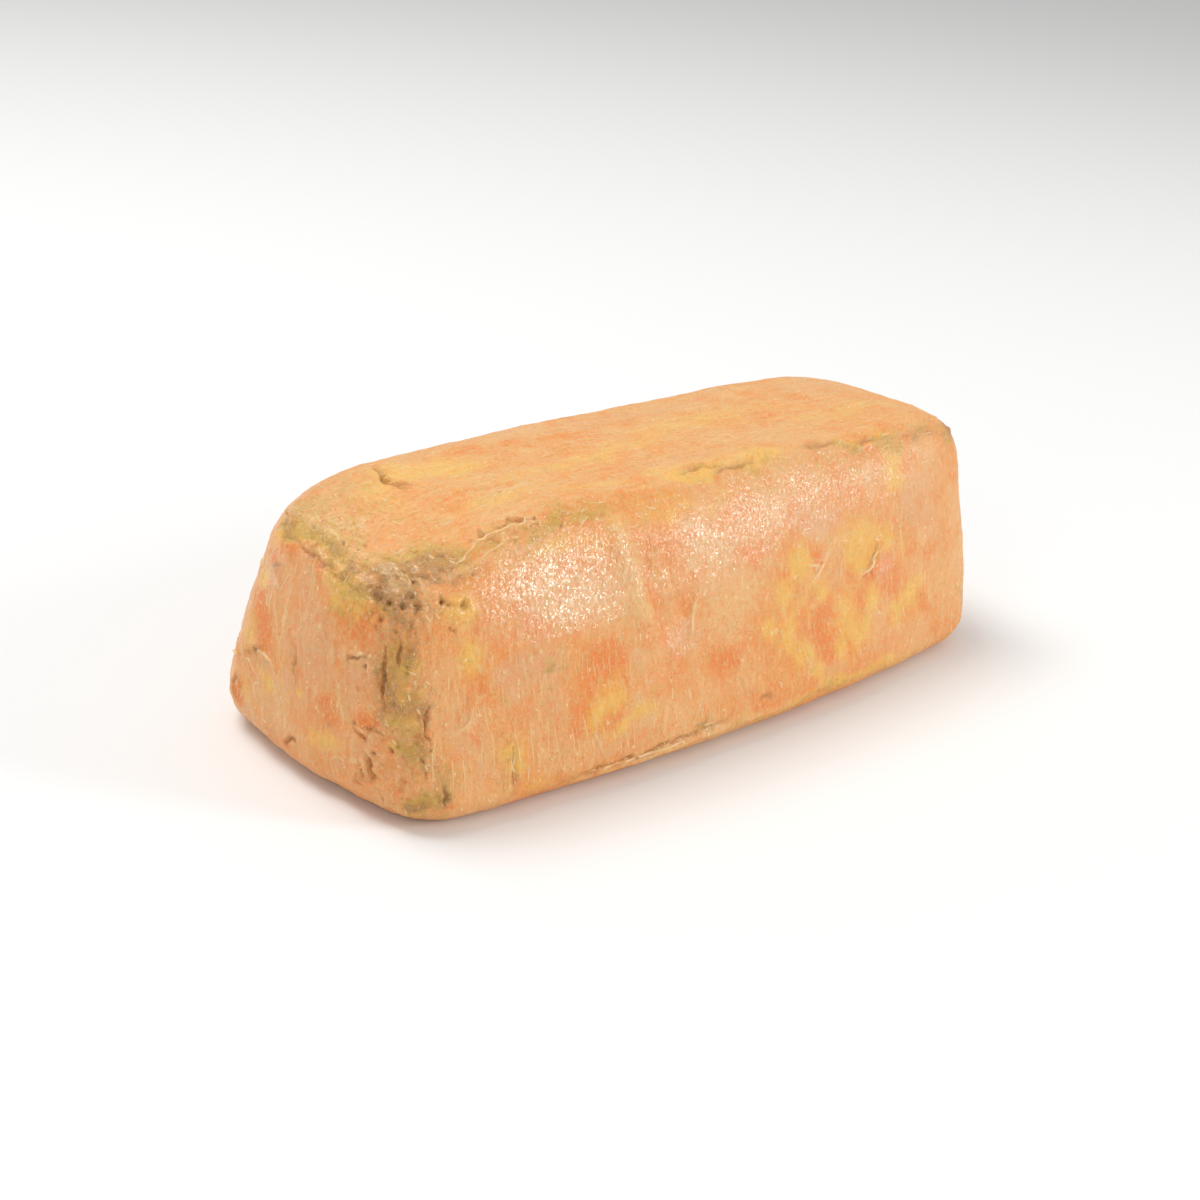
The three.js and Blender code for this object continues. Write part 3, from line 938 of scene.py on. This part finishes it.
def lay(places, radius, stand):
    """Adds a thread through these places, thinning at its ends; stand lifts its far end."""
    spline = thread_curve.splines.new("POLY")
    spline.points.add(len(places) - 1)
    for index, (place, point) in enumerate(zip(places, spline.points)):
        share = index / (len(places) - 1)
        found, normal = on_skin(place)
        raised = found + normal * (stand * share**3 - THREAD_SUNK * radius)
        point.co = (*(raised * MM), 1)
        point.radius = radius * (THREAD_TIP + (1 - THREAD_TIP) * math.sin(math.pi * share) ** 0.5)


def thread(points, radius):
    """A thread along a given line."""
    places = []
    for start, end in zip(points, points[1:]):
        start, end = Vector(start), Vector(end)
        pieces = max(1, round((end - start).length / THREAD_STEP))
        places += [start.lerp(end, k / pieces) for k in range(pieces)]
    places.append(Vector(points[-1]))
    lay([p + THREAD_SHAKE * noise.noise_vector(p / 2.5) for p in places], radius, 0.0)


def stray(start, heading, length, turning, radius, stand=0.0):
    """A thread that wanders over the skin from a start, turning by about that many degrees a step."""
    place, normal = on_skin(start)
    heading = Vector(heading)
    places = [place]
    drift = chance.uniform(-turning, turning)
    for _ in range(max(3, round(length / STRAY_STEP))):
        drift = 0.7 * drift + chance.uniform(-turning, turning)
        heading = Quaternion(normal, math.radians(drift)) @ heading
        heading = (heading - normal * heading.dot(normal)).normalized()
        place, normal = on_skin(place + heading * STRAY_STEP)
        places.append(place)
    lay(places, radius, stand)


for points, radius in (
    (VEIN, 0.5),
    (VEIN_BRANCH, 0.34),
    ([(18.6, -31, 31.6), (19.4, -31, 29.6)], 0.3),
    ([(17, -31, 28.2), (19, -31, 29.2)], 0.3),
    ([(-12.2, -30, 31), (-14.6, -30.5, 27), (-14.4, -31, 23.6), (-16, -31.5, 22)], 0.36),
    ([(-29, -33, 15.6), (-28.4, -33.6, 12)], 0.34),
    ([(-25.4, -33, 15.2), (-25, -33.6, 11)], 0.3),
    ([(-20.6, -33, 16), (-20.8, -33.6, 12.4)], 0.34),
    ([(-16.8, -34, 15.4), (-16.4, -34, 11)], 0.3),
    ([(-12.6, -34, 16.4), (-13, -34, 13)], 0.34),
    (CORNER_STRAND, 0.38),
    ([(39.4, -28.5, 32), (38.6, -30, 28), (36.4, -30.5, 24.8), (33.4, -31, 23.8), (30.8, -31, 25)], 0.42),
    (RIGHT_STRAND, 0.26),
    ([(49.4, -28, 36), (49, -29, 31)], 0.2),
    ([(-29.6, -21, 49), (-30, -23, 46.5), (-30, -26, 42), (-29, -28, 37)], 0.32),
    ([(-22, -23, 46), (-22.6, -27, 40), (-23, -29, 34)], 0.24),
    ([(-56, -31, 13.4), (-57, -32, 9.5), (-56.5, -33, 5)], 0.36),
    ([(-60, -11.5, 48), (-58.6, -12.6, 48), (-57, -12, 48.4), (-56, -13, 48.6)], 0.36),
    ([(-53, -10.6, 49.6), (-47, -9.5, 50.4), (-40, -9.6, 51), (-33, -7.6, 51)], 0.26),
    ([(-66, -22, 42), (-61, -20.5, 45), (-55, -19, 47.5), (-49, -19.5, 48.5), (-43, -20, 49.4)], 0.34),
    ([(-60, -22, 43.6), (-56, -21.6, 45.6), (-51, -21.5, 47)], 0.26),
    ([(10, -8.6, 51), (13, -10, 51), (14, -13, 51)], 0.24),
    ([(-33, -21, 49), (-29, -21.5, 49)], 0.3),
    *zip(END_STRINGS[:4], (0.34, 0.26, 0.4, 0.34)),
    ([(-78, 18, 14), (-78.5, 14, 13), (-79, 12, 10), (-79, 12.4, 7)], 0.3),
    (END_STRINGS[4], 0.28),
    ([(-75.6, 14, 41), (-76.4, 13, 36), (-77.4, 15, 30)], 0.3),
    ([(-77.6, -14, 16), (-77.4, -16, 15.8), (-77, -18, 15.2), (-76.6, -20, 14.2)], 0.42),
    ([(-78, -12.6, 27.4), (-77.5, -15.4, 29.2), (-77, -18.3, 30)], 0.4),
    ([(-78, -16, 11), (-78, -17.6, 10.2), (-78, -17.4, 8.8)], 0.4),
    ([(-78.6, -9, 8), (-78.4, -12, 9), (-78, -14, 8.4)], 0.3),
    (SMEAR, 0.6),
    ([(-69, -15.5, 44), (-68.5, -18, 43), (-69.5, -20.5, 41), (-69, -22, 39)], 0.46),
    ([(-45, -32, 3.4), (-33, -34, 4), (-22, -35, 4.4), (-12, -36, 5)], 0.4),
):
    thread(points, radius)

# Pleats fan out upwards from the foot, and a second, finer row hangs down across the middle.
PLEATS, PLEAT_FROM, PLEAT_TO = 44, -73, -8
HANGING_PLEATS, HANGING_FROM, HANGING_GAP = 26, -68, 1.5
for index in range(PLEATS):
    share = (index + chance.uniform(-0.25, 0.25)) / PLEATS
    foot = (PLEAT_FROM + share * (PLEAT_TO - PLEAT_FROM), -34, chance.uniform(4, 8))
    lean = 0.10 * math.sin(3 * math.pi * share)
    stray(foot, (lean, 0.1, 1), chance.uniform(5, 15) * (1 - 0.4 * share), 1.5, chance.uniform(0.16, 0.26))
for index in range(HANGING_PLEATS):
    start = (HANGING_FROM + HANGING_GAP * index + chance.uniform(-0.4, 0.4), -29, chance.uniform(22, 30))
    stray(start, (0.03, -0.1, -1), chance.uniform(4, 9), 1.5, chance.uniform(0.13, 0.2))

# Threads strewn over parts of the skin: how many, a part's corners, then each thread's heading,
# length, turning, radius and how far its loose end stands off.
for number, low, high, heading, length, turning, radius, stand in (
    (30, (5, -27, 40), (62, -17, 49), (1, 0, 0.2), (1.5, 5), 22, (0.14, 0.26), 0.15),
    (18, (-60, -24, 43), (-5, -17, 50), (1, 0, 0.3), (1.5, 5), 18, (0.16, 0.3), 0.15),
    (26, (-66, -16, 51), (66, 18, 51), (1, 0.05, 0), (5, 18), 4, (0.14, 0.22), 0.0),
    (24, (-80, -14, 6), (-77, 20, 40), (0, 0.1, -1), (4, 12), 5, (0.14, 0.22), 0.0),
    (14, (-80, 4, 4), (-74, 24, 40), (0, -0.6, -1), (2, 7), 8, (0.2, 0.36), 0.1),
    (22, (-79, -27, 3), (-70, -12, 30), (0, -0.6, -0.6), (1, 3), 16, (0.2, 0.4), 0.1),
    (16, (-77, -26, 36), (-62, -14, 46), (0.3, -0.6, -0.6), (1, 3), 16, (0.2, 0.4), 0.1),
    (20, (-76, -6, 43), (-60, 22, 49), (0.3, 1, 0.2), (1, 3.5), 22, (0.16, 0.3), 0.2),
    (30, (-50, -35, 8), (66, -26, 38), (0.2, 0, -1), (3, 9), 5, (0.12, 0.2), 0.0),
    (44, (-66, 26, 5), (66, 36, 40), (0.1, 0, -1), (4, 14), 6, (0.16, 0.3), 0.1),
    (30, (74, -26, 5), (80, 24, 42), (0, 0.1, -1), (3, 12), 7, (0.16, 0.3), 0.1),
    (26, (-40, 14, 46), (70, 28, 50), (1, 0.2, -0.2), (2, 6), 16, (0.16, 0.28), 0.3),
    (16, (64, -20, 42), (76, 20, 48), (0.2, 1, 0), (2, 5), 16, (0.16, 0.28), 0.3),
):
    for _ in range(number):
        start = [chance.uniform(a, b) for a, b in zip(low, high)]
        way = [h * chance.choice((-1, 1)) if abs(h) == 1 else h + chance.uniform(-0.2, 0.2) for h in heading]
        stray(start, way, chance.uniform(*length), turning, chance.uniform(*radius), stand * chance.random())
for start, way, length in (((-77, 20, 15), (-0.3, 1, -0.1), 4), ((-76, 21, 33), (-0.2, 1, 0.2), 2.5)):
    stray(start, way, length, 6, 0.5, 0.8)

# The curve becomes a mesh, and nothing on it leaves the solid's own box.
thread_mesh = worked_mesh(put("laid_out", thread_curve))
spun = bmesh.new()
spun.from_mesh(thread_mesh)
for vert in spun.verts:
    for axis in range(3):
        vert.co[axis] = min(max(vert.co[axis], CAD_BOX[0][axis]), CAD_BOX[1][axis])
spun.to_mesh(thread_mesh)
spun.free()
thread_mesh.shade_smooth()
threads = put("fat_threads", thread_mesh)

GRISTLE = (0.850, 0.460, 0.200, 1)
PALE_GRISTLE = (0.900, 0.600, 0.320, 1)
gristle = blank("pale_gristle")
tree = gristle.node_tree
hue = stain(GRISTLE, PALE_GRISTLE, span(marbling(6, 2), 0.35, 0.65))
hue = stain(hue, YELLOW, span(marbling(3, 2), 0.5, 0.7), 0.5)
surface = add(
    "ShaderNodeBsdfPrincipled",
    Base_Color=hue,
    Roughness=span(marbling(1.5, 2), 0.3, 0.7, 0.25, 0.4),
    Normal=bumped(marbling(0.5, 2), 0.1, 0.6),
)
glow(surface, 0.8)
thread_mesh.materials.clear()
thread_mesh.materials.append(gristle)
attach(threads, "root")

# ------------------------------------------------------------------ floor, light and camera
# A plain pale table under soft studio light: a broad box overhead, a small bright one low at the
# front right that picks out the wet fat, and an even white surround.
FLOOR_SIDE = 6.0  # metres
FLOOR_WHITE = (0.90, 0.90, 0.89, 1)
SURROUND = 0.5  # brightness of the white all round
floor_mesh = bpy.data.meshes.new("floor")
tile = bmesh.new()
bmesh.ops.create_grid(tile, x_segments=1, y_segments=1, size=FLOOR_SIDE / 2)
tile.to_mesh(floor_mesh)
tile.free()
floor = put("floor", floor_mesh)
table = bpy.data.materials.new("pale_table")
table.use_nodes = True
paint = table.node_tree.nodes["Principled BSDF"]
paint.inputs["Base Color"].default_value = FLOOR_WHITE
paint.inputs["Roughness"].default_value = 0.8
floor_mesh.materials.append(table)

world = bpy.data.worlds.new("surround")
world.use_nodes = True
world.node_tree.nodes["Background"].inputs["Color"].default_value = (1, 1, 1, 1)
world.node_tree.nodes["Background"].inputs["Strength"].default_value = SURROUND
bpy.context.scene.world = world

# Each box's place and sides are in metres and its power in watts. All face the block's middle.
MIDDLE = Vector((0, 0, 0.025))
for name, place, width, height, power in (
    ("box_overhead", (-0.25, 0.45, 1.1), 0.6, 0.6, 8.5),
    ("box_front_right", (0.74, -0.93, 0.42), 0.30, 0.48, 6.4),
    ("box_left", (-1.0, -0.35, 0.5), 0.5, 0.5, 1.4),
):
    lamp = bpy.data.lights.new(name, "AREA")
    lamp.shape = "RECTANGLE"
    lamp.size, lamp.size_y = width, height
    lamp.energy = power
    held = put(name, lamp)
    held.location = place
    held.rotation_euler = (MIDDLE - Vector(place)).to_track_quat("-Z", "Y").to_euler()

CAMERA_AZIMUTH = math.radians(-45.1)  # 0 looks along +Y
CAMERA_HEIGHT_ANGLE = math.radians(22.6)
CAMERA_ROLL = math.radians(5.05)
CAMERA_DISTANCE = 0.402  # metres
CAMERA_AIM = Vector((0.0, 0.0076, 0.0129))
CAMERA_LENS = 60.3  # mm
lens = bpy.data.cameras.new("camera")
lens.lens = CAMERA_LENS
lens.clip_start = 0.01
camera = put("camera", lens)
away = Vector((
    math.sin(CAMERA_AZIMUTH) * math.cos(CAMERA_HEIGHT_ANGLE),
    -math.cos(CAMERA_AZIMUTH) * math.cos(CAMERA_HEIGHT_ANGLE),
    math.sin(CAMERA_HEIGHT_ANGLE),
))
camera.location = CAMERA_AIM + CAMERA_DISTANCE * away
camera.rotation_euler = ((-away).to_track_quat("-Z", "Y") @ Quaternion((0, 0, 1), CAMERA_ROLL)).to_euler()
bpy.context.scene.camera = camera
bpy.context.scene.view_settings.view_transform = "Standard"
